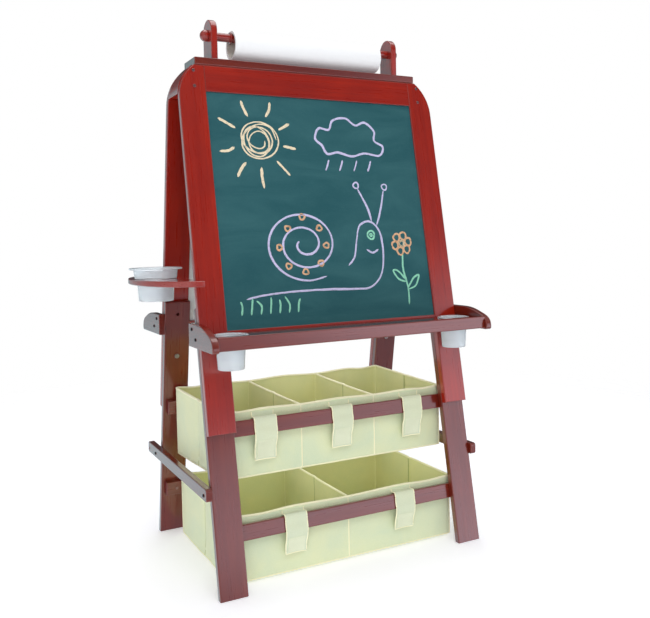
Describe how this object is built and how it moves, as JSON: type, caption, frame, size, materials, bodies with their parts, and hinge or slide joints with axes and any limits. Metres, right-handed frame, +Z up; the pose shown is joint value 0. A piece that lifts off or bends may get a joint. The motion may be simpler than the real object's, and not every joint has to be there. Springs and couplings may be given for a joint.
{
  "type": "children's easel",
  "caption": "Two-sided standing easel with chalkboard, whiteboard, paper roll holder, trays with cups, side shelf with tub and hanging fabric bins.",
  "frame": {"origin": "on the floor, under the middle of the overall outline, side shelf included", "axes": "+Z up, front (chalkboard side) faces -Y, the side shelf is at -X; the easel's own middle plane is at X = 44.7 mm"},
  "size_m": [0.7656, 0.518, 1.203],
  "materials": {
    "stained_wood": "glossy cherry stain",
    "chalkboard": "matt chalkboard paint on hardboard",
    "whiteboard": "gloss white lacquer on hardboard",
    "clear_plastic": "translucent",
    "fabric": "non-woven cloth",
    "paper": "matt paper",
    "steel": "plated pan heads"
  },
  "bodies": {
    "frame": {"bin_rail_screws": "steel", "frame_corner_screws": "steel", "front_bottom_rail": "stained_wood", "front_chalkboard": "chalkboard", "front_left_leg": "stained_wood", "front_left_stile": "stained_wood", "front_lower_bin_rail": "stained_wood", "front_right_leg": "stained_wood", "front_right_stile": "stained_wood", "front_top_rail": "stained_wood", "front_tray_board": "stained_wood", "front_tray_left_cheek": "stained_wood", "front_tray_lip": "stained_wood", "front_tray_right_cheek": "stained_wood", "front_upper_bin_rail": "stained_wood", "left_end_block": "stained_wood", "left_roll_post": "stained_wood", "left_side_bar": "stained_wood", "leg_bolts": "steel", "lower_bins": "fabric", "rear_bottom_rail": "stained_wood", "rear_left_leg": "stained_wood", "rear_left_stile": "stained_wood", "rear_lower_bin_rail": "stained_wood", "rear_right_leg": "stained_wood", "rear_right_stile": "stained_wood", "rear_top_rail": "stained_wood", "rear_tray_board": "stained_wood", "rear_tray_left_cheek": "stained_wood", "rear_tray_lip": "stained_wood", "rear_tray_right_cheek": "stained_wood", "rear_upper_bin_rail": "stained_wood", "rear_whiteboard": "whiteboard", "right_end_block": "stained_wood", "right_roll_post": "stained_wood", "right_side_bar": "stained_wood", "side_bar_screws": "steel", "side_shelf": "stained_wood", "top_board": "stained_wood", "tray_cheek_screws": "steel", "upper_bins": "fabric"},
    "roll_spindle": {"roll_dowel": "stained_wood", "left_dowel_knob": "stained_wood", "right_dowel_knob": "stained_wood", "dowel_collar": "stained_wood"},
    "roll": {"paper_roll": "paper"},
    "tub": {"shelf_tub": "clear_plastic"},
    "front_left_cup_body": {"front_left_cup": "clear_plastic"},
    "front_right_cup_body": {"front_right_cup": "clear_plastic"},
    "rear_left_cup_body": {"rear_left_cup": "clear_plastic"},
    "rear_right_cup_body": {"rear_right_cup": "clear_plastic"}
  },
  "joints": [
    {"name": "spindle_spin", "type": "hinge", "parent": "frame", "child": "roll_spindle", "pos_m": [0.0447, 0, 1.1684], "axis": [1, 0, 0], "continuous": true},
    {"name": "paper_roll_spin", "type": "hinge", "parent": "frame", "child": "roll", "pos_m": [0.0447, 0, 1.1527], "axis": [1, 0, 0], "continuous": true},
    {"name": "tub_lift", "type": "slide", "parent": "frame", "child": "tub", "axis": [0, 0, 1], "range_m": [0, 0.09]},
    {"name": "front_left_cup_lift", "type": "slide", "parent": "frame", "child": "front_left_cup_body", "axis": [0, 0, 1], "range_m": [0, 0.09]},
    {"name": "front_right_cup_lift", "type": "slide", "parent": "frame", "child": "front_right_cup_body", "axis": [0, 0, 1], "range_m": [0, 0.09]},
    {"name": "rear_left_cup_lift", "type": "slide", "parent": "frame", "child": "rear_left_cup_body", "axis": [0, 0, 1], "range_m": [0, 0.09]},
    {"name": "rear_right_cup_lift", "type": "slide", "parent": "frame", "child": "rear_right_cup_body", "axis": [0, 0, 1], "range_m": [0, 0.09]}
  ]
}
